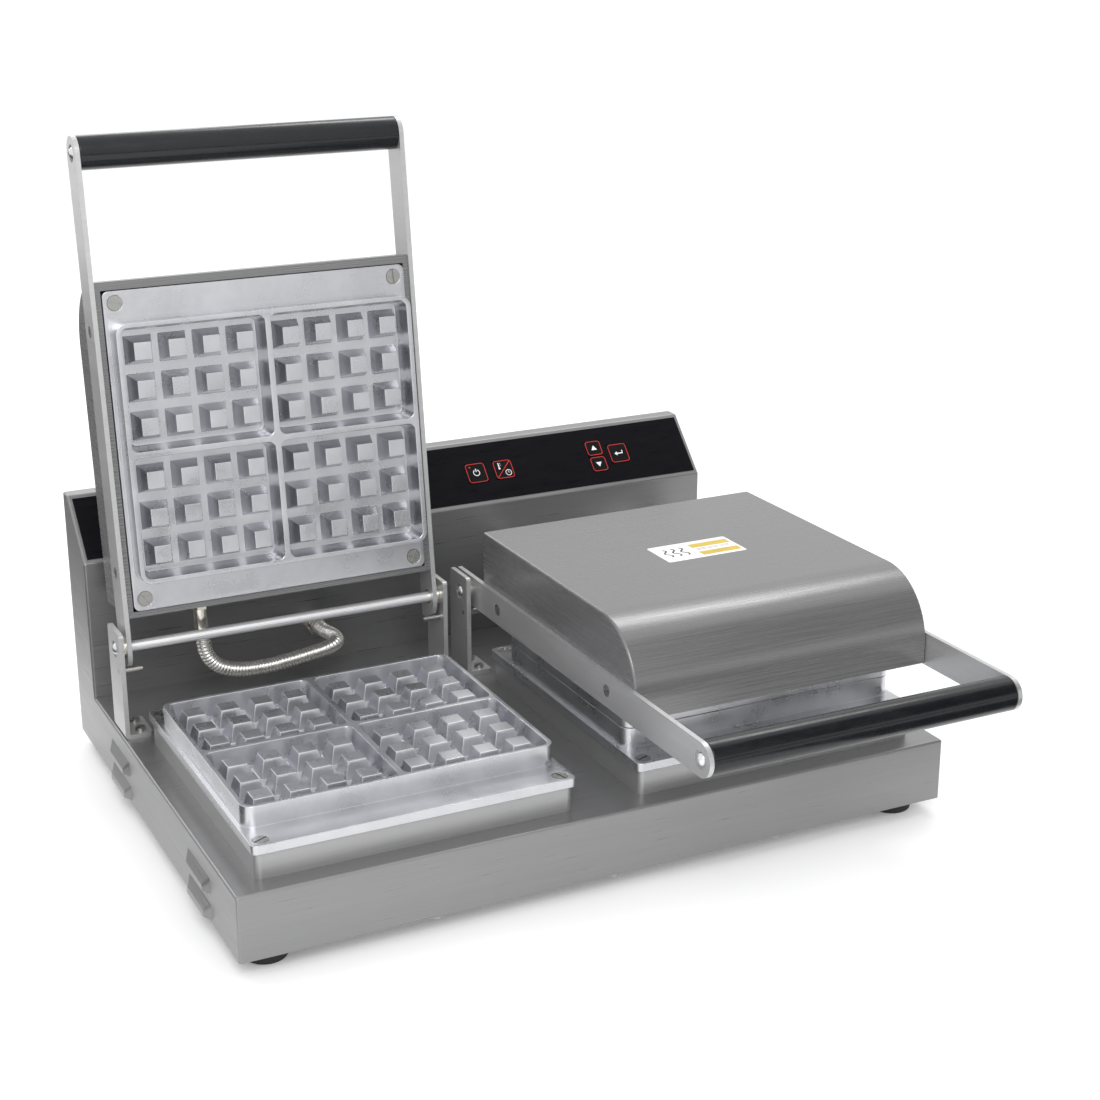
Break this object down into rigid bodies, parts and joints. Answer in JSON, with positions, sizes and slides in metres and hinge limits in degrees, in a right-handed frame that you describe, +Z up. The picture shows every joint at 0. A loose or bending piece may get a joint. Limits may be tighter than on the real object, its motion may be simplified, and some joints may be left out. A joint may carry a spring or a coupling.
{
  "type": "waffle maker",
  "caption": "Double commercial waffle maker: a steel base with a control box, two cast waffle irons, and a hinged lid with a bar grip on each iron.",
  "frame": {"origin": "on the table, under the middle of the machine's whole outline, which is 43 mm in front of the middle of the base", "axes": "+X to the machine's right as its user sees it, +Y to the back, +Z up"},
  "size_m": [0.629, 0.5887, 0.5647],
  "materials": {
    "housing_steel": "brushed",
    "inner_sheet": "satin",
    "bar_steel": "brushed",
    "cast_plate": "satin",
    "screw_steel": "satin",
    "bolt_steel": "polished",
    "hose_steel": "satin",
    "heater_steel": "matte",
    "plated_brass": "polished",
    "grip_plastic": "gloss",
    "panel_foil": "satin",
    "key_film": "satin",
    "circuit_board": "satin",
    "terminal_plastic": "matte",
    "mineral_wool": "matte",
    "foot_rubber": "matte"
  },
  "bodies": {
    "base": {"base_housing": "housing_steel", "bottom_plate": "inner_sheet", "rear_cover": "inner_sheet", "foot_front_left": "foot_rubber", "foot_front_right": "foot_rubber", "foot_rear_left": "foot_rubber", "foot_rear_right": "foot_rubber", "housing_screws": "screw_steel", "control_overlay": "panel_foil", "control_board": "circuit_board", "power_board": "circuit_board", "terminal_block": "terminal_plastic", "cable_gland": "plated_brass", "left_outer_bracket": "bar_steel", "left_inner_bracket": "bar_steel", "right_outer_bracket": "bar_steel", "right_inner_bracket": "bar_steel", "bracket_screws": "screw_steel", "stop_pins": "screw_steel", "left_hinge_shaft": "bolt_steel", "right_hinge_shaft": "bolt_steel", "shaft_bolts": "bolt_steel", "left_lower_skirt": "housing_steel", "right_lower_skirt": "housing_steel", "left_lower_waffle_plate": "cast_plate", "right_lower_waffle_plate": "cast_plate", "left_lower_heater": "heater_steel", "right_lower_heater": "heater_steel", "lower_plate_screws": "screw_steel", "lower_insulation": "mineral_wool", "left_conduit": "hose_steel", "right_conduit": "hose_steel", "conduit_sockets": "plated_brass"},
    "left_lid": {"left_hood": "housing_steel", "left_upper_waffle_plate": "cast_plate", "left_upper_heater": "heater_steel", "left_upper_insulation": "mineral_wool", "left_lid_screws": "screw_steel", "left_lid_left_arm": "bar_steel", "left_lid_right_arm": "bar_steel", "left_grip": "grip_plastic", "left_grip_bolts": "bolt_steel", "left_pivot_bushes": "plated_brass", "left_conduit_fitting": "plated_brass"},
    "right_lid": {"right_hood": "housing_steel", "right_upper_waffle_plate": "cast_plate", "right_upper_heater": "heater_steel", "right_upper_insulation": "mineral_wool", "right_lid_screws": "screw_steel", "right_lid_left_arm": "bar_steel", "right_lid_right_arm": "bar_steel", "right_grip": "grip_plastic", "right_grip_bolts": "bolt_steel", "right_pivot_bushes": "plated_brass", "right_conduit_fitting": "plated_brass"},
    "key_power_cap": {"key_power": "key_film"},
    "key_mode_cap": {"key_mode": "key_film"},
    "key_up_cap": {"key_up": "key_film"},
    "key_down_cap": {"key_down": "key_film"},
    "key_enter_cap": {"key_enter": "key_film"}
  },
  "joints": [
    {"name": "left_lid_hinge", "type": "hinge", "parent": "base", "child": "left_lid", "pos_m": [-0.159, 0.129, 0.145], "axis": [1, 0, 0], "range_deg": [0, 97.5], "deforming": ["left_conduit"]},
    {"name": "right_lid_hinge", "type": "hinge", "parent": "base", "child": "right_lid", "pos_m": [0.159, 0.129, 0.145], "axis": [-1, 0, 0], "range_deg": [0, 97.5], "deforming": ["right_conduit"]},
    {"name": "key_power_press", "type": "slide", "parent": "base", "child": "key_power_cap", "axis": [0, 0.7287, -0.6848], "range_m": [0, 0.0005], "stiffness_N_per_m": 400},
    {"name": "key_mode_press", "type": "slide", "parent": "base", "child": "key_mode_cap", "axis": [0, 0.7287, -0.6848], "range_m": [0, 0.0005], "stiffness_N_per_m": 400},
    {"name": "key_up_press", "type": "slide", "parent": "base", "child": "key_up_cap", "axis": [0, 0.7287, -0.6848], "range_m": [0, 0.0005], "stiffness_N_per_m": 400},
    {"name": "key_down_press", "type": "slide", "parent": "base", "child": "key_down_cap", "axis": [0, 0.7287, -0.6848], "range_m": [0, 0.0005], "stiffness_N_per_m": 400},
    {"name": "key_enter_press", "type": "slide", "parent": "base", "child": "key_enter_cap", "axis": [0, 0.7287, -0.6848], "range_m": [0, 0.0005], "stiffness_N_per_m": 400}
  ]
}
